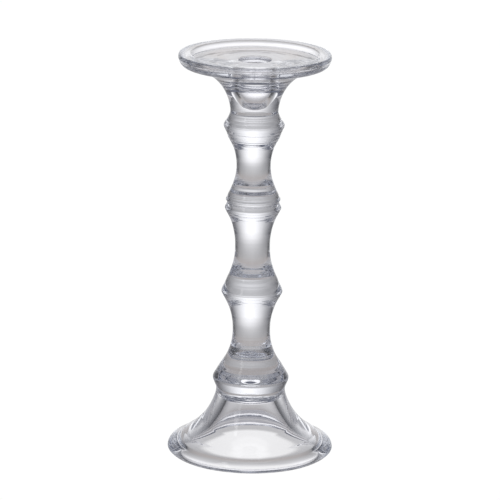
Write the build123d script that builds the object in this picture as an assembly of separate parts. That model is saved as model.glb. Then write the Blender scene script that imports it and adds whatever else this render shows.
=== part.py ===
from build123d import *
import math
import os

os.makedirs("parts", exist_ok=True)

# A clear glass candlestick with a bamboo-pattern stem, in millimetres. +Z is up and the axis of the
# stem is Z. The origin is the centre of the circle that the foot stands on.
#
# It is six pieces in a stack, each one a body of revolution: the foot, a collar that joins the foot to
# the stem, the lower stem, a thin clear bond, the upper stem, and the candle dish with its socket.

# Heights of the faces where one piece meets the next
FOOT_TOP = 45.5
COLLAR_TOP = 51.0
BOND_BOTTOM = 189.5
BOND_TOP = 189.9
NECK_SEAT = 256.7
HEIGHT = 300.0

# Radii of those faces
FOOT_TOP_RADIUS = 25.7
COLLAR_TOP_RADIUS = 25.4
GROOVE_RADIUS = 18.9
BOND_RADIUS = 18.4
NECK_RADIUS = 17.4

# Foot: the widest part of its rim, the flat ring that it stands on, and the hollow underneath
FOOT_RADIUS = 60.6
FOOT_WIDEST_HEIGHT = 4.3
STANDING_RING_OUTER = 52.4
STANDING_RING_INNER = 48.8
CAVITY_ROOF = 44.1
CAVITY_ROOF_EDGE = 42.7
CAVITY_ROOF_RADIUS = 15.0

# A lens of air is trapped where the collar meets the stem: each face has a shallow dimple with a soft edge
DIMPLE_RADIUS = 4.8
DIMPLE_DEPTH = 0.35

# Candle dish: its rim, and the flat floor that a pillar candle stands on
DISH_RADIUS = 55.4
DISH_WIDEST_HEIGHT = 297.0
RIM_TOP_OUTER = 54.2
RIM_TOP_INNER = 47.1
RECESS_WALL = 46.0
FLOOR_HEIGHT = 295.4
FLOOR_EDGE = 45.1

# Socket for a taper candle of 22 mm: a straight bore with a rounded mouth and a bottom like half an egg
SOCKET_RADIUS = 11.7
SOCKET_BORE_BOTTOM = 277.0
SOCKET_CAP_RADIUS = 6.4
SOCKET_CAP_TOP = 264.0
SOCKET_TIP = 260.4
MOUTH_ROUNDING = 1.1


def outline(start, *steps):
    """Edges in the XZ plane from start through each step: (radius, height, outward bow of the arc)."""
    edges = []
    here = start
    for radius, height, bow in steps:
        there = (radius, height)
        if bow == 0:
            edges.append(Line(here, there))
        else:
            edges.append(SagittaArc(here, there, -bow))
        here = there
    return edges


def cap_bow(radius, rise):
    """The bow of an arc that meets the axis square on, as a spherical cap does."""
    return math.hypot(radius, rise) / 2 * math.tan(math.atan2(rise, radius) / 2)


def turned(edges):
    """The solid swept by a closed outline as it goes once round the Z axis."""
    face = make_face(Wire(edges))
    upright = Plane.XZ * face
    return revolve(upright, Axis.Z, 360)


def make_foot():
    """Bell-shaped foot with a rounded rim, hollow underneath up to a low dome."""
    dome_bow = cap_bow(CAVITY_ROOF_RADIUS, CAVITY_ROOF - CAVITY_ROOF_EDGE)
    return turned(
        outline(
            (0, CAVITY_ROOF),
            (CAVITY_ROOF_RADIUS, CAVITY_ROOF_EDGE, -dome_bow),
            (16.6, 41.2, 0.2),
            (29.2, 18.0, 0.85),
            (40.5, 8.0, 0.55),
            (46.3, 3.5, 0),
            (STANDING_RING_INNER, 0, 0),
            (STANDING_RING_OUTER, 0, 0),
            (FOOT_RADIUS, FOOT_WIDEST_HEIGHT, 1.1),
            (57.4, 10.3, 0.95),
            (48.3, 16.0, -0.5),
            (30.2, 34.6, -1.75),
            (FOOT_TOP_RADIUS, FOOT_TOP, -0.35),
            (0, FOOT_TOP, 0),
            (0, CAVITY_ROOF, 0),
        )
    )


def make_foot_collar():
    """Button of glass between the foot and the stem, with a dimple in the middle of its top."""
    dimple_bow = cap_bow(DIMPLE_RADIUS / 2, DIMPLE_DEPTH / 2)
    return turned(
        outline(
            (0, FOOT_TOP),
            (FOOT_TOP_RADIUS, FOOT_TOP, 0),
            (COLLAR_TOP_RADIUS, COLLAR_TOP, -0.25),
            (DIMPLE_RADIUS, COLLAR_TOP, 0),
            (DIMPLE_RADIUS / 2, COLLAR_TOP - DIMPLE_DEPTH / 2, dimple_bow),
            (0, COLLAR_TOP - DIMPLE_DEPTH, -dimple_bow),
            (0, FOOT_TOP, 0),
        )
    )


def make_lower_stem():
    """Solid stem: the lowest node, a waist, a sharp node, a waist and the lower of the two rings."""
    dimple_bow = cap_bow(DIMPLE_RADIUS / 2, DIMPLE_DEPTH / 2)
    return turned(
        outline(
            (0, COLLAR_TOP + DIMPLE_DEPTH),
            (DIMPLE_RADIUS / 2, COLLAR_TOP + DIMPLE_DEPTH / 2, -dimple_bow),
            (DIMPLE_RADIUS, COLLAR_TOP, dimple_bow),
            (COLLAR_TOP_RADIUS, COLLAR_TOP, 0),
            (27.4, 55.8, 0.1),
            (27.6, 58.8, 0.35),
            (20.2, 71.0, 0.15),
            (13.9, 89.4, -1.25),
            (18.7, 115.8, -1.9),
            (22.1, 122.0, 0),
            (21.9, 124.8, 0.3),
            (20.5, 127.6, 0),
            (18.2, 133.2, -0.1),
            (12.7, 156.4, -1.4),
            (16.6, 177.7, -1.1),
            (20.0, 184.2, 0),
            (19.9, 187.3, 0.55),
            (GROOVE_RADIUS, BOND_BOTTOM, 0),
            (0, BOND_BOTTOM, 0),
            (0, COLLAR_TOP + DIMPLE_DEPTH, 0),
        )
    )


def make_stem_bond():
    """Thin clear layer that holds the two halves of the stem together."""
    return turned(
        outline(
            (0, BOND_BOTTOM),
            (BOND_RADIUS, BOND_BOTTOM, 0),
            (BOND_RADIUS, BOND_TOP, 0),
            (0, BOND_TOP, 0),
            (0, BOND_BOTTOM, 0),
        )
    )


def make_upper_stem():
    """Solid stem: the upper of the two rings, a waist and the top node."""
    return turned(
        outline(
            (0, BOND_TOP),
            (GROOVE_RADIUS, BOND_TOP, 0),
            (19.2, 191.0, 0),
            (19.2, 193.4, 0.7),
            (18.6, 195.2, -0.2),
            (13.5, 208.0, -0.4),
            (15.0, 231.4, -1.75),
            (18.9, 238.6, 0),
            (21.8, 245.9, -0.25),
            (21.6, 248.9, 0.35),
            (NECK_RADIUS, NECK_SEAT, -0.35),
            (0, NECK_SEAT, 0),
            (0, BOND_TOP, 0),
        )
    )


def make_candle_dish():
    """Trumpet neck, broad dish with a raised rim, and the socket down its middle."""
    quarter_arc_bow = 1 - 0.5**0.5
    return turned(
        outline(
            (0, NECK_SEAT),
            (NECK_RADIUS, NECK_SEAT, 0),
            (19.8, 268.6, -0.6),
            (31.7, 284.0, -1.5),
            (49.6, 290.7, -1.2),
            (54.4, 294.2, 0.9),
            (DISH_RADIUS, DISH_WIDEST_HEIGHT, 0.05),
            (55.1, 299.1, 0.05),
            (RIM_TOP_OUTER, HEIGHT, 0.2),
            (RIM_TOP_INNER, HEIGHT, 0),
            (46.3, 299.3, 0.2),
            (RECESS_WALL, 296.4, 0),
            (FLOOR_EDGE, FLOOR_HEIGHT, -0.3),
            (SOCKET_RADIUS + MOUTH_ROUNDING, FLOOR_HEIGHT, 0),
            (SOCKET_RADIUS, FLOOR_HEIGHT - MOUTH_ROUNDING, MOUTH_ROUNDING * quarter_arc_bow),
            (SOCKET_RADIUS, SOCKET_BORE_BOTTOM, 0),
            (SOCKET_CAP_RADIUS, SOCKET_CAP_TOP, -0.6),
            (0, SOCKET_TIP, -cap_bow(SOCKET_CAP_RADIUS, SOCKET_CAP_TOP - SOCKET_TIP)),
            (0, NECK_SEAT, 0),
        )
    )


PIECES = {
    "foot": make_foot,
    "foot_collar": make_foot_collar,
    "lower_stem": make_lower_stem,
    "stem_bond": make_stem_bond,
    "upper_stem": make_upper_stem,
    "candle_dish": make_candle_dish,
}

for name, make in PIECES.items():
    piece = make()
    piece.label = name
    export_step(piece, f"parts/{name}.step")
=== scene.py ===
"""Looks for the glass candlestick: six pieces of clear pressed glass on a pale floor in soft studio light."""

import math

import bpy
import numpy as np
from mathutils import Matrix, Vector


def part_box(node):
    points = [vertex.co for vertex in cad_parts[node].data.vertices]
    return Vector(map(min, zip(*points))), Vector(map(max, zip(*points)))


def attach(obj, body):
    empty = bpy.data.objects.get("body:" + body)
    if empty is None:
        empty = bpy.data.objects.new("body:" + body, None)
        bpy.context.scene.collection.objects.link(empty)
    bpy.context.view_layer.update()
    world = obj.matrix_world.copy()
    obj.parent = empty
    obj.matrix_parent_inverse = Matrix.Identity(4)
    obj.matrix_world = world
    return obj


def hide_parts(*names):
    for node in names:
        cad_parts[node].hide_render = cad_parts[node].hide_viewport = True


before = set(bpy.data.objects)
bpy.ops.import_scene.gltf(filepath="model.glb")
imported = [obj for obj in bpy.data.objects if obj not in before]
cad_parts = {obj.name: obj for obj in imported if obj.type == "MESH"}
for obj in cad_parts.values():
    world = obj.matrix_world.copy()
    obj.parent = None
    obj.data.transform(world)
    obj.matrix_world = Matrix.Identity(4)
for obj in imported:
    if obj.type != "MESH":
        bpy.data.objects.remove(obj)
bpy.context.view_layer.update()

MM = 0.001

# ---------------------------------------------------------------- sizes, in millimetres

FOOT_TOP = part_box("foot")[1][2] / MM
COLLAR_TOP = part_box("foot_collar")[1][2] / MM
BOND_BOTTOM, BOND_TOP = (corner[2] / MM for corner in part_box("stem_bond"))
NECK_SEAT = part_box("upper_stem")[1][2] / MM
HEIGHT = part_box("candle_dish")[1][2] / MM

RING_SPACING = 0.3  # between mesh rings, along an outline
LEVEL_SPACING = 0.9  # the same on its level stretches
SEGMENTS = 240  # around the axis
EDGE_SOFTENING = 3  # passes that round each corner of an outline

SLOW_WAVES = 12  # waves that run round and up the skin
SLOW_WAVE_SIZE = 0.009
FINE_RIPPLES = 4  # nearly level ripples in the skin
FINE_RIPPLE_SIZE = 0.0015
RING_MIN_RADIUS = 12.6  # the mould's rings show only outside this radius
RING_MIN_SLOPE = 0.2  # and only where the skin faces outwards at least this much
JOINT_CALM = 1.5  # distance from a joint over which every mark fades in
AXIS_CALM = 6  # distance from the axis over which every mark fades in

SEAMS = (math.radians(-90.8), math.radians(81.5))  # where the halves of the dish mould met
SEAM_SIZE = 0.14
SEAM_WIDTH = 0.55
SEAM_START = 44  # radius from which the seams show
SEAM_STEPS = (-0.7, -0.35, 0, 0.35, 0.7)  # extra mesh columns across a seam, in degrees
DISH_FLOOR = (14.5, 44.5)  # inner and outer radius of its waves
ROOF_RADIUS = 15  # of the hollow's roof
ROOF_LOWEST = 40
LEVEL = 0.95  # a surface counts as level where its normal points up or down at least this much


# ---------------------------------------------------------------- outlines and turned meshes


def outline(start, *steps):
    """Points from start through each step: (radius, height, outward bow of the arc). Straight if the bow is 0."""
    points = [start]
    for radius, height, bow in steps:
        points += arc(points[-1], (radius, height), bow)
    return points


def arc(start, end, bow):
    """Points after start on the circular arc to end that stands bow to the right of the way there."""
    (r0, z0), (r1, z1) = start, end
    length = math.hypot(r1 - r0, z1 - z0)
    if abs(bow) < 1e-6:
        count = max(1, round(length / (LEVEL_SPACING if z0 == z1 else RING_SPACING)))
        return [(r0 + (r1 - r0) * i / count, z0 + (z1 - z0) * i / count) for i in range(1, count + 1)]
    right = ((z1 - z0) / length, -(r1 - r0) / length)
    radius = (length**2 / 4 + bow**2) / (2 * bow)
    centre = ((r0 + r1) / 2 + right[0] * (bow - radius), (z0 + z1) / 2 + right[1] * (bow - radius))
    sweep = 4 * math.atan(2 * bow / length)
    first = math.atan2(z0 - centre[1], r0 - centre[0])
    count = max(2, math.ceil(abs(radius * sweep) / RING_SPACING))
    return [
        (
            centre[0] + abs(radius) * math.cos(first + sweep * i / count),
            centre[1] + abs(radius) * math.sin(first + sweep * i / count),
        )
        for i in range(1, count + 1)
    ]


def cap_bow(radius, rise):
    """The bow of an arc that meets the axis square on, as a spherical cap does."""
    return math.hypot(radius, rise) / 2 * math.tan(math.atan2(rise, radius) / 2)


def softened(points, joints):
    """The outline with its corners rounded, as fire polish leaves them. Corners on a joint face stay crisp."""
    line = np.array(points)
    on_joint = np.isin(np.round(line[:, 1], 3), np.round(joints, 3))
    free = ~on_joint
    free[[0, -1]] = False
    for _ in range(EDGE_SOFTENING):
        smooth = line.copy()
        smooth[1:-1] = (line[:-2] + 2 * line[1:-1] + line[2:]) / 4
        line[free] = smooth[free]
    return line


def wobble(angle, height):
    """How far pressed glass stands off its true outline, in millimetres: slow waves and fine level ripples."""
    waves = np.zeros_like(angle)
    random = np.random.default_rng(7)
    for _ in range(SLOW_WAVES):
        turns = random.integers(1, 5)
        pitch = random.uniform(12, 34)
        start = random.uniform(0, 2 * np.pi)
        waves += SLOW_WAVE_SIZE * np.sin(turns * angle + 2 * np.pi * height / pitch + start)
    for _ in range(FINE_RIPPLES):
        pitch = random.uniform(2.4, 4.4)
        drift = random.uniform(0.2, 0.8) * np.sin(random.integers(1, 4) * angle + random.uniform(0, 2 * np.pi))
        waves += FINE_RIPPLE_SIZE * np.sin(2 * np.pi * height / pitch + drift)
    return waves


def chill_rings(angle, height, rings):
    """Level rings left in the skin by the mould, as (height, half width, depth), each drifting a little round it."""
    dent = np.zeros_like(height)
    for number, (level, half_width, depth) in enumerate(rings):
        drift = 0.08 * np.sin(angle + 1.7 * number) + 0.05 * np.sin(3 * angle + 2.9 * number)
        dent -= depth * np.exp(-(((height - level - drift) / half_width) ** 2))
    return dent


def ring_angles():
    """Even steps round the axis, with finer ones across each mould seam."""
    even = np.arange(SEGMENTS) * 2 * np.pi / SEGMENTS
    extra = [(seam + math.radians(step)) % (2 * np.pi) for seam in SEAMS for step in SEAM_STEPS]
    return np.unique(np.round(np.concatenate([even, extra]), 6))


def dish_floor_waves(angle, radius):
    """The dish floor is not quite flat: shallow rings, uneven round it, that run out at its edges."""
    inner, outer = DISH_FLOOR
    run_out = np.sin(np.pi * np.clip((radius - inner) / (outer - inner), 0, 1)) ** 0.5
    rings = 0.06 * np.sin(2 * np.pi * radius / 11 + 0.9 * np.sin(angle + 0.5) + 0.4 * np.sin(4 * angle))
    return run_out * (rings + 0.03 * np.sin(2 * np.pi * radius / 5.3 + 1.1 * np.sin(2 * angle + 1)))


def roof_wrinkles(angle, radius):
    """The roof of the hollow froze in wrinkles round the tip of the plunger."""
    run_out = np.sin(np.pi * np.clip(radius / ROOF_RADIUS, 0, 1)) ** 0.5
    rings = 0.11 * np.sin(2 * np.pi * radius / 4.6 + 1.3 * np.sin(2 * angle + 0.6) + 0.6 * np.sin(5 * angle))
    return run_out * (rings + 0.04 * np.sin(7 * angle + radius) * np.clip(radius / 8, 0, 1))


def mould_seams(angle, radius):
    """Two fine ridges where the halves of the dish mould met, at the front and the back."""
    ridge = np.zeros_like(angle)
    for seam in SEAMS:
        away = radius * np.abs(np.angle(np.exp(1j * (angle - seam))))
        ridge += SEAM_SIZE * np.exp(-((away / SEAM_WIDTH) ** 2)) * np.clip((radius - SEAM_START) / 1.5, 0, 1)
    return ridge


def dish_marks(angle, radius, height, upward):
    inner, outer = DISH_FLOOR
    floor = (upward > LEVEL) & (radius > inner) & (radius < outer)
    return dish_floor_waves(angle, radius) * floor + mould_seams(angle, radius)


def foot_marks(angle, radius, height, upward):
    roof = (upward < -LEVEL) & (height > ROOF_LOWEST) & (radius < ROOF_RADIUS)
    return roof_wrinkles(angle, radius) * roof


def turned(name, points, joints=(), rings=(), marks=None, edge=None):
    """A closed mesh of the outline turned round the axis. Faces that lie on a joint height are marked as joined.

    marks gives how far the surface stands off, from its angles, radii, heights and outline normals.
    edge gives the outermost radius by angle, where that is uneven.
    """
    line = softened(points, joints)
    radius, height = line[:, 0], line[:, 1]
    along = np.gradient(line, axis=0)
    along /= np.maximum(np.linalg.norm(along, axis=1), 1e-9)[:, None]
    normal = np.stack([along[:, 1], -along[:, 0]], axis=1)
    angle = ring_angles()
    turn = angle[None, :] + np.zeros_like(radius)[:, None]
    off = wobble(turn, height[:, None] + 0.6 * radius[:, None])
    outside = (radius > RING_MIN_RADIUS) & (normal[:, 0] > RING_MIN_SLOPE)
    off += chill_rings(turn, height[:, None] + 0 * turn, rings) * outside[:, None]
    if marks:
        off += marks(turn, radius[:, None] + 0 * turn, height[:, None], normal[:, None, 1])
    fade = np.clip(height, 0, 1)
    for joint in joints:
        fade *= np.clip(np.abs(height - joint) / JOINT_CALM, 0, 1)
    off *= (fade * np.clip(radius / AXIS_CALM, 0, 1))[:, None]
    ring_r = radius[:, None] + off * normal[:, :1]
    ring_z = height[:, None] + off * normal[:, 1:]
    if edge:
        ring_r = ring_r * edge(turn) / radius.max()
    inner = slice(1, -1)
    x = ring_r[inner] * np.cos(angle)
    y = ring_r[inner] * np.sin(angle)
    body = np.stack([x, y, ring_z[inner]], axis=2).reshape(-1, 3)
    poles = np.array([[0, 0, height[0]], [0, 0, height[-1]]])
    vertices = np.concatenate([body, poles]) * MM

    count, around = len(line) - 2, len(angle)
    k = np.arange(around)
    k_next = (k + 1) % around
    ring = np.arange(count - 1)[:, None] * around
    quads = np.stack([ring + k, ring + k_next, ring + around + k_next, ring + around + k], axis=2).reshape(-1, 4)
    first_pole, last_pole = count * around, count * around + 1
    last = (count - 1) * around
    first_fan = np.stack([np.full(around, first_pole), k_next, k], axis=1)
    last_fan = np.stack([np.full(around, last_pole), last + k, last + k_next], axis=1)
    mesh = bpy.data.meshes.new(name)
    mesh.from_pydata(vertices.tolist(), [], quads.tolist() + first_fan.tolist() + last_fan.tolist())
    mesh.update()

    joined = mesh.attributes.new("joined", "FLOAT", "FACE")
    heights = np.concatenate([np.repeat(height[inner], len(angle)), height[[0, -1]]])
    for polygon in mesh.polygons:
        level = heights[list(polygon.vertices)]
        touching = [joint for joint in joints if abs(level - joint).max() < 1e-3]
        if touching and touching[0] in (BOND_BOTTOM, BOND_TOP):
            x, y, _ = polygon.center
            touching = math.hypot(x, y) / MM < bond_edge(math.atan2(y, x))
        joined.data[polygon.index].value = bool(touching)
    mesh.shade_smooth()
    mesh.set_sharp_from_angle(angle=math.radians(40))
    piece = bpy.data.objects.new(name, mesh)
    bpy.context.scene.collection.objects.link(piece)
    return piece


# ---------------------------------------------------------------- materials


GLASS_TINT = (0.985, 0.98, 0.99)
REFRACTION = 1.5
RIPPLE_SCALE = 55  # per metre
RIPPLE_BUMP = 0.008
ROUGHEST = 0.002
DEPTH_TINT = (0.2, 0.27, 0.42)  # what little colour the glass has, seen through metres of it
DEPTH_DENSITY = 3.0  # per metre


def clear_glass(name):
    """Clear pressed glass: faint ripples in its skin, slightly uneven polish, and a blue grey cast in depth.

    Faces marked as joined let light straight through, because the glass is one optically there.
    """
    material = bpy.data.materials.new(name)
    material.use_nodes = True
    tree = material.node_tree
    shader = tree.nodes["Principled BSDF"]
    shader.inputs["Base Color"].default_value = (*GLASS_TINT, 1)
    shader.inputs["Transmission Weight"].default_value = 1
    shader.inputs["IOR"].default_value = REFRACTION
    place = tree.nodes.new("ShaderNodeTexCoord")
    ripple = tree.nodes.new("ShaderNodeTexNoise")
    ripple.inputs["Scale"].default_value = RIPPLE_SCALE
    ripple.inputs["Detail"].default_value = 2
    tree.links.new(place.outputs["Object"], ripple.inputs["Vector"])
    bumps = tree.nodes.new("ShaderNodeBump")
    bumps.inputs["Strength"].default_value = RIPPLE_BUMP
    bumps.inputs["Distance"].default_value = 0.0005
    tree.links.new(ripple.outputs["Fac"], bumps.inputs["Height"])
    tree.links.new(bumps.outputs["Normal"], shader.inputs["Normal"])
    polish = tree.nodes.new("ShaderNodeMapRange")
    polish.inputs["From Min"].default_value = 0.35
    polish.inputs["From Max"].default_value = 0.75
    polish.inputs["To Min"].default_value = 0.0
    polish.inputs["To Max"].default_value = ROUGHEST
    tree.links.new(ripple.outputs["Fac"], polish.inputs["Value"])
    tree.links.new(polish.outputs["Result"], shader.inputs["Roughness"])

    where_joined = tree.nodes.new("ShaderNodeAttribute")
    where_joined.attribute_name = "joined"
    straight_through = tree.nodes.new("ShaderNodeBsdfTransparent")
    skin = tree.nodes.new("ShaderNodeMixShader")
    tree.links.new(where_joined.outputs["Fac"], skin.inputs["Fac"])
    tree.links.new(shader.outputs["BSDF"], skin.inputs[1])
    tree.links.new(straight_through.outputs["BSDF"], skin.inputs[2])
    result = tree.nodes["Material Output"]
    tree.links.new(skin.outputs["Shader"], result.inputs["Surface"])
    depth = tree.nodes.new("ShaderNodeVolumeAbsorption")
    depth.inputs["Color"].default_value = (*DEPTH_TINT, 1)
    depth.inputs["Density"].default_value = DEPTH_DENSITY
    tree.links.new(depth.outputs["Volume"], result.inputs["Volume"])
    return material


# ---------------------------------------------------------------- the six pieces

# Rings the mould left in the skin: height, half width, depth. A negative depth stands proud.
LOWER_RINGS = [
    (57.4, 0.7, 0.07),
    (62.6, 0.8, 0.07),
    (65.2, 0.7, 0.06),
    (71.6, 0.6, 0.06),
    (73.9, 0.7, 0.07),
    (76.8, 0.7, 0.06),
    (79.6, 0.5, 0.04),
    (82.2, 0.6, 0.05),
    (84.8, 0.6, 0.04),
    (118.2, 0.45, 0.07),
    (121.2, 0.4, 0.12),
    (124.0, 0.45, 0.12),
    (130.2, 0.6, -0.03),
    (135.4, 0.6, 0.04),
    (138.3, 0.5, -0.03),
    (179.4, 0.5, 0.06),
    (181.9, 0.4, 0.1),
    (184.4, 0.5, 0.14),
]
UPPER_RINGS = [
    (191.2, 0.5, 0.06),
    (195.0, 0.5, 0.08),
    (199.8, 0.5, -0.03),
    (203.1, 0.5, 0.04),
    (234.2, 0.5, 0.07),
    (237.0, 0.4, 0.15),
    (239.6, 0.4, 0.16),
    (242.2, 0.4, 0.15),
    (245.0, 0.5, 0.06),
    (249.4, 0.7, -0.04),
    (252.5, 0.6, 0.12),
    (255.8, 0.5, 0.06),
]
NECK_RINGS = [(259.2, 0.45, 0.06), (276.5, 0.7, 0.03)]

DIMPLE_RADIUS = 4.8  # of the lens of air between the collar and the lower stem
DIMPLE_DEPTH = 0.35  # in each of the two faces
DIMPLE_BOW = cap_bow(DIMPLE_RADIUS / 2, DIMPLE_DEPTH / 2)


def bond_edge(angle):
    """How far out the resin between the stems reaches, in millimetres: it was squeezed out unevenly."""
    return 17.1 + 0.45 * np.sin(angle + 0.4) + 0.35 * np.sin(3 * angle + 2.1) + 0.25 * np.sin(7 * angle + 1.2)


def make_foot():
    points = outline(
        (0, 44.1),
        (15.0, 42.7, -cap_bow(15.0, 1.4)),
        (16.6, 41.2, 0.2),
        (29.2, 18.0, 0.85),
        (40.5, 8.0, 0.55),
        (46.3, 3.5, 0),
        (48.8, 0, 0),
        (52.4, 0, 0),
        (60.6, 4.3, 1.1),
        (57.4, 10.3, 0.95),
        (48.3, 16.0, -0.5),
        (30.2, 34.6, -1.75),
        (25.7, FOOT_TOP, -0.35),
        (0, FOOT_TOP, 0),
    )
    return turned("foot_glass", points, joints=(FOOT_TOP,), marks=foot_marks)


def make_foot_collar():
    points = outline(
        (0, FOOT_TOP),
        (25.7, FOOT_TOP, 0),
        (25.4, COLLAR_TOP, -0.25),
        (DIMPLE_RADIUS, COLLAR_TOP, 0),
        (DIMPLE_RADIUS / 2, COLLAR_TOP - DIMPLE_DEPTH / 2, DIMPLE_BOW),
        (0, COLLAR_TOP - DIMPLE_DEPTH, -DIMPLE_BOW),
    )
    return turned("collar_glass", points, joints=(FOOT_TOP, COLLAR_TOP))


def make_lower_stem():
    points = outline(
        (0, COLLAR_TOP + DIMPLE_DEPTH),
        (DIMPLE_RADIUS / 2, COLLAR_TOP + DIMPLE_DEPTH / 2, -DIMPLE_BOW),
        (DIMPLE_RADIUS, COLLAR_TOP, DIMPLE_BOW),
        (25.4, COLLAR_TOP, 0),
        (27.4, 55.8, 0.1),
        (27.6, 58.8, 0.35),
        (20.2, 71.0, 0.15),
        (13.9, 89.4, -1.25),
        (18.7, 115.8, -1.9),
        (22.1, 122.0, 0),
        (21.9, 124.8, 0.3),
        (20.5, 127.6, 0),
        (18.2, 133.2, -0.1),
        (12.7, 156.4, -1.4),
        (16.6, 177.7, -1.1),
        (20.0, 184.2, 0),
        (19.9, 187.3, 0.55),
        (18.9, BOND_BOTTOM, 0),
        (0, BOND_BOTTOM, 0),
    )
    return turned("lower_stem_glass", points, joints=(COLLAR_TOP, BOND_BOTTOM), rings=LOWER_RINGS)


def make_stem_bond():
    points = outline(
        (0, BOND_BOTTOM),
        (18.4, BOND_BOTTOM, 0),
        (18.4, BOND_TOP, 0),
        (0, BOND_TOP, 0),
    )
    return turned("stem_bond_resin", points, joints=(BOND_BOTTOM, BOND_TOP), edge=bond_edge)


def make_upper_stem():
    points = outline(
        (0, BOND_TOP),
        (18.9, BOND_TOP, 0),
        (19.2, 191.0, 0),
        (19.2, 193.4, 0.7),
        (18.6, 195.2, -0.2),
        (13.5, 208.0, -0.4),
        (15.0, 231.4, -1.75),
        (18.9, 238.6, 0),
        (21.8, 245.9, -0.25),
        (21.6, 248.9, 0.35),
        (17.4, NECK_SEAT, -0.35),
        (0, NECK_SEAT, 0),
    )
    return turned("upper_stem_glass", points, joints=(BOND_TOP, NECK_SEAT), rings=UPPER_RINGS)


def make_candle_dish():
    points = outline(
        (0, NECK_SEAT),
        (17.4, NECK_SEAT, 0),
        (19.8, 268.6, -0.6),
        (31.7, 284.0, -1.5),
        (49.6, 290.7, -1.2),
        (54.4, 294.2, 0.9),
        (55.4, 297.0, 0.05),
        (55.1, 299.1, 0.05),
        (54.2, HEIGHT, 0.2),
        (47.1, HEIGHT, 0),
        (46.3, 299.3, 0.2),
        (46.0, 296.4, 0),
        (45.1, 295.4, -0.3),
        (12.8, 295.4, 0),
        (11.7, 294.3, 0.32),
        (11.7, 277.0, 0),
        (6.4, 264.0, -0.6),
        (0, 260.4, -cap_bow(6.4, 3.6)),
    )
    return turned("dish_glass", points, joints=(NECK_SEAT,), rings=NECK_RINGS, marks=dish_marks)


def dress(piece, node, skin):
    piece.data.materials.append(skin)
    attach(piece, "root")
    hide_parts(node)


# ---------------------------------------------------------------- surroundings


class Maths:
    """Short forms for the number nodes of one shader tree."""

    def __init__(self, tree):
        self.tree = tree

    def math(self, operation, *values):
        node = self.tree.nodes.new("ShaderNodeMath")
        node.operation = operation
        for socket, value in zip(node.inputs, values):
            self.feed(value, socket)
        return node.outputs[0]

    def ramp(self, value, low, high, to_low=0.0, to_high=1.0):
        node = self.tree.nodes.new("ShaderNodeMapRange")
        node.interpolation_type = "SMOOTHSTEP"
        for name, number in (("From Min", low), ("From Max", high), ("To Min", to_low), ("To Max", to_high)):
            node.inputs[name].default_value = number
        self.feed(value, node.inputs["Value"])
        return node.outputs["Result"]

    def scaled(self, colour, amount):
        node = self.tree.nodes.new("ShaderNodeVectorMath")
        node.operation = "SCALE"
        self.feed(colour, node.inputs[0])
        self.feed(amount, node.inputs["Scale"])
        return node.outputs[0]

    def added(self, first, second):
        node = self.tree.nodes.new("ShaderNodeVectorMath")
        node.operation = "ADD"
        self.feed(first, node.inputs[0])
        self.feed(second, node.inputs[1])
        return node.outputs[0]

    def feed(self, value, socket):
        if isinstance(value, bpy.types.NodeSocket):
            self.tree.links.new(value, socket)
        else:
            socket.default_value = value


# What the glass sees round it, by elevation in degrees: a dim room above, a table below that fades towards it
ROOM = [
    (-90, (0.58, 0.58, 0.60)),
    (-70, (0.38, 0.38, 0.41)),
    (-55, (0.46, 0.46, 0.48)),
    (-43, (0.50, 0.49, 0.50)),
    (-35, (0.43, 0.40, 0.39)),
    (-24, (0.36, 0.355, 0.36)),
    (-18, (0.31, 0.31, 0.32)),
    (-8, (0.22, 0.22, 0.235)),
    (0, (0.17, 0.173, 0.19)),
    (20, (0.165, 0.17, 0.19)),
    (28, (0.14, 0.15, 0.185)),
    (60, (0.13, 0.142, 0.19)),
    (90, (0.14, 0.15, 0.19)),
]
# How strongly a lit backdrop adds to that, by elevation: it is brightest just above the table
BACKDROP_RISE = [
    (-45, 0.0),
    (-35, 0.03),
    (-30, 0.07),
    (-24, 0.14),
    (-18, 0.27),
    (-14, 0.37),
    (-10, 0.55),
    (-7, 0.73),
    (-3, 0.90),
    (0, 1.0),
    (21, 1.0),
    (26, 0.0),
]
# The backdrops: azimuth of the middle (0 behind the object, 90 to its right), angular size, strength
BACKDROPS = [(3, 28, 1.08), (95, 16, 0.5), (133, 24, 0.85), (180, 26, 0.9), (-133, 24, 0.85), (-95, 16, 0.45)]
# Darker bands in the room to the left and the right of the backdrop: azimuth of the middle, angular size, strength
SHADES = [(-62, 11, 0.8), (66, 17, 0.7)]
SHADES_FOOT = (-40, -25)  # elevations in degrees between which they fade out towards the table
# Softboxes: azimuth, half width and soft edge, lowest and highest elevation and soft edge, strength
SOFTBOXES = [
    (-134, 3, 4, 32, 50, 8, 1.8),  # key strip
    (0, 180, 1, 76, 90, 6, 1.1),  # overhead
]


def elevation_ramp(tree, position, stops, low=-90, high=90):
    node = tree.nodes.new("ShaderNodeValToRGB")
    tree.links.new(position, node.inputs["Fac"])
    elements = node.color_ramp.elements
    while len(elements) < len(stops):
        elements.new(0.5)
    for element, (place, value) in zip(elements, stops):
        element.position = (place - low) / (high - low)
        element.color = (*value, 1) if isinstance(value, tuple) else (value, value, value, 1)
    return node.outputs["Color"]


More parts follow.
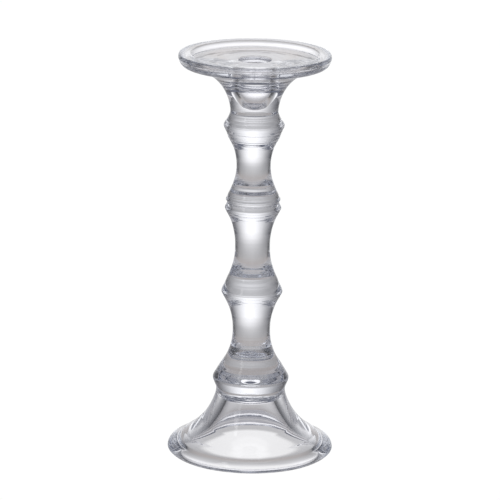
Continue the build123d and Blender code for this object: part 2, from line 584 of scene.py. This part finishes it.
def make_room():
    world = bpy.data.worlds.new("studio")
    bpy.context.scene.world = world
    world.use_nodes = True
    tree = world.node_tree
    maths = Maths(tree)
    where = tree.nodes.new("ShaderNodeTexCoord")
    parts = tree.nodes.new("ShaderNodeSeparateXYZ")
    tree.links.new(where.outputs["Generated"], parts.inputs[0])
    azimuth = maths.math("ARCTAN2", parts.outputs["X"], parts.outputs["Y"])
    elevation = maths.math("ARCSINE", parts.outputs["Z"])
    position = maths.math("ADD", maths.math("DIVIDE", elevation, math.pi), 0.5)
    light = elevation_ramp(tree, position, ROOM)
    rise = elevation_ramp(tree, position, BACKDROP_RISE)
    for middle, size, strength in BACKDROPS:
        amount = maths.math("MULTIPLY", lobe(maths, azimuth, middle, size), strength)
        light = maths.added(light, maths.scaled(rise, amount))
    foot = maths.ramp(elevation, *(math.radians(level) for level in SHADES_FOOT))
    for middle, size, strength in SHADES:
        shade = maths.math("MULTIPLY", maths.math("MULTIPLY", lobe(maths, azimuth, middle, size), foot), strength)
        light = maths.scaled(light, maths.math("SUBTRACT", 1.0, shade))
    for middle, half_width, edge, low, high, high_edge, strength in SOFTBOXES:
        away = angle_from(maths, azimuth, middle)
        across = maths.ramp(away, math.radians(half_width), math.radians(half_width + edge), 1.0, 0.0)
        above = maths.ramp(elevation, math.radians(low - high_edge), math.radians(low), 0.0, 1.0)
        below = maths.ramp(elevation, math.radians(high), math.radians(high + high_edge), 1.0, 0.0)
        amount = maths.math("MULTIPLY", maths.math("MULTIPLY", across, above), below)
        light = maths.added(light, maths.scaled((1.0, 1.0, 1.0), maths.math("MULTIPLY", amount, strength)))
    tree.links.new(light, tree.nodes["Background"].inputs["Color"])


def lobe(maths, azimuth, middle, size):
    """A bell curve round one azimuth, 1 in its middle."""
    away = maths.math("DIVIDE", angle_from(maths, azimuth, middle), math.radians(size))
    return maths.math("EXPONENT", maths.math("MULTIPLY", maths.math("MULTIPLY", away, away), -1.0))


def angle_from(maths, azimuth, middle):
    away = maths.math("SUBTRACT", azimuth, math.radians(middle))
    return maths.math("ABSOLUTE", maths.math("WRAP", away, math.pi, -math.pi))


def glow(name, strength):
    """A plain white light-emitting material, for what stands round the candlestick."""
    material = bpy.data.materials.new(name)
    material.use_nodes = True
    tree = material.node_tree
    tree.nodes.clear()
    light = tree.nodes.new("ShaderNodeEmission")
    light.inputs["Color"].default_value = (1, 1, 1, 1)
    light.inputs["Strength"].default_value = strength
    result = tree.nodes.new("ShaderNodeOutputMaterial")
    tree.links.new(light.outputs[0], result.inputs["Surface"])
    return material


PALE = 1.02  # strength of the floor and the backdrop
FLOOR_RADIUS = 12  # metres
FLOOR_DROP = -0.0002  # just under the foot
DISC_SIDES = 96
BACKDROP_RADIUS = 14  # metres
BACKDROP_DROP = -1  # it starts this far below the floor, so that no gap shows at the horizon
BACKDROP_RINGS, BACKDROP_SIDES = 24, 48


def show_only_to_camera(thing):
    for way in ("diffuse", "glossy", "transmission", "shadow", "volume_scatter"):
        setattr(thing, "visible_" + way, False)


def disc(name, radius, height):
    mesh = bpy.data.meshes.new(name)
    count = DISC_SIDES
    ring = [
        (radius * math.cos(2 * math.pi * i / count), radius * math.sin(2 * math.pi * i / count), height)
        for i in range(count)
    ]
    mesh.from_pydata(ring, [], [list(range(count))])
    plate = bpy.data.objects.new(name, mesh)
    bpy.context.scene.collection.objects.link(plate)
    return plate


# The painted pool of light under the foot: a glowing disc on the table, hidden from the camera, by distance from the
# axis in metres
POOL_RADIUS = 0.039
POOL_EDGE = 0.030
# Its strength by how level the sight line is (0 straight down, 1 level): a painted reflection of the backdrop,
# standing in for gloss on the table
POOL_PAINTED_REFLECTION = [(0, 0.4), (0.3, 0.58), (0.5, 0.82), (0.6, 0.95), (1, 0.95)]


def make_floor():
    seen = disc("floor", FLOOR_RADIUS, FLOOR_DROP)
    seen.data.materials.append(glow("pale_floor", PALE))
    show_only_to_camera(seen)
    pool = disc("light_pool", POOL_RADIUS, FLOOR_DROP)
    pool.visible_camera = False
    material = glow("pool_light", 1)
    tree = material.node_tree
    maths = Maths(tree)
    # painted pool of light: the disc glows inside POOL_EDGE and turns clear by POOL_RADIUS
    where = tree.nodes.new("ShaderNodeTexCoord")
    length = tree.nodes.new("ShaderNodeVectorMath")
    length.operation = "LENGTH"
    tree.links.new(where.outputs["Object"], length.inputs[0])
    mix = tree.nodes.new("ShaderNodeMixShader")
    clear = tree.nodes.new("ShaderNodeBsdfTransparent")
    # painted reflection: the glow grows as the sight line gets level, as a glossy table would show the backdrop
    level = tree.nodes.new("ShaderNodeLayerWeight")
    level.inputs["Blend"].default_value = 0.5
    painted_reflection = elevation_ramp(tree, level.outputs["Facing"], POOL_PAINTED_REFLECTION, 0, 1)
    tree.links.new(painted_reflection, tree.nodes["Emission"].inputs["Color"])
    tree.links.new(maths.ramp(length.outputs["Value"], POOL_EDGE, POOL_RADIUS), mix.inputs["Fac"])
    tree.links.new(tree.nodes["Emission"].outputs[0], mix.inputs[1])
    tree.links.new(clear.outputs[0], mix.inputs[2])
    tree.links.new(mix.outputs[0], tree.nodes["Material Output"].inputs["Surface"])
    pool.data.materials.append(material)


def make_backdrop():
    """A dome that starts below the floor and closes overhead."""
    mesh = bpy.data.meshes.new("backdrop")
    radius = BACKDROP_RADIUS
    rings, around = BACKDROP_RINGS, BACKDROP_SIDES
    points = [
        (
            radius * math.cos(math.pi / 2 * j / rings) * math.cos(2 * math.pi * i / around),
            radius * math.cos(math.pi / 2 * j / rings) * math.sin(2 * math.pi * i / around),
            radius * math.sin(math.pi / 2 * j / rings) + BACKDROP_DROP,
        )
        for j in range(rings)
        for i in range(around)
    ]
    faces = [
        [j * around + i, j * around + (i + 1) % around, (j + 1) * around + (i + 1) % around, (j + 1) * around + i]
        for j in range(rings - 1)
        for i in range(around)
    ]
    faces.append([(rings - 1) * around + i for i in range(around)])
    mesh.from_pydata(points, [], faces)
    dome = bpy.data.objects.new("backdrop", mesh)
    bpy.context.scene.collection.objects.link(dome)
    dome.data.materials.append(glow("pale_backdrop", PALE))
    show_only_to_camera(dome)


def make_camera():
    """Long lens, a little above the dish, looking down at the middle of the candlestick."""
    distance, height = 2.7099, 0.8631
    pitch, roll = math.radians(14.672), math.radians(0.8)
    lens = bpy.data.cameras.new("camera")
    lens.sensor_width = 36
    lens.lens = 276.6
    lens.shift_x = -0.0049
    lens.clip_end = 100
    camera = bpy.data.objects.new("camera", lens)
    bpy.context.scene.collection.objects.link(camera)
    level = Matrix.Rotation(math.pi / 2 - pitch, 4, "X")
    camera.matrix_world = Matrix.Translation((0, -distance, height)) @ level @ Matrix.Rotation(roll, 4, "Z")
    bpy.context.scene.camera = camera


BOUNCES = 96  # light that runs round inside the foot rim and the nodes needs many


def set_rendering():
    scene = bpy.context.scene
    scene.view_settings.view_transform = "Standard"
    scene.cycles.max_bounces = BOUNCES
    scene.cycles.transmission_bounces = BOUNCES
    scene.cycles.glossy_bounces = BOUNCES
    scene.cycles.transparent_max_bounces = BOUNCES


make_camera()
set_rendering()
make_room()
make_floor()
make_backdrop()

skin = clear_glass("pressed_glass")
dress(make_foot(), "foot", skin)
dress(make_foot_collar(), "foot_collar", skin)
dress(make_lower_stem(), "lower_stem", skin)
dress(make_stem_bond(), "stem_bond", skin)
dress(make_upper_stem(), "upper_stem", skin)
dress(make_candle_dish(), "candle_dish", skin)
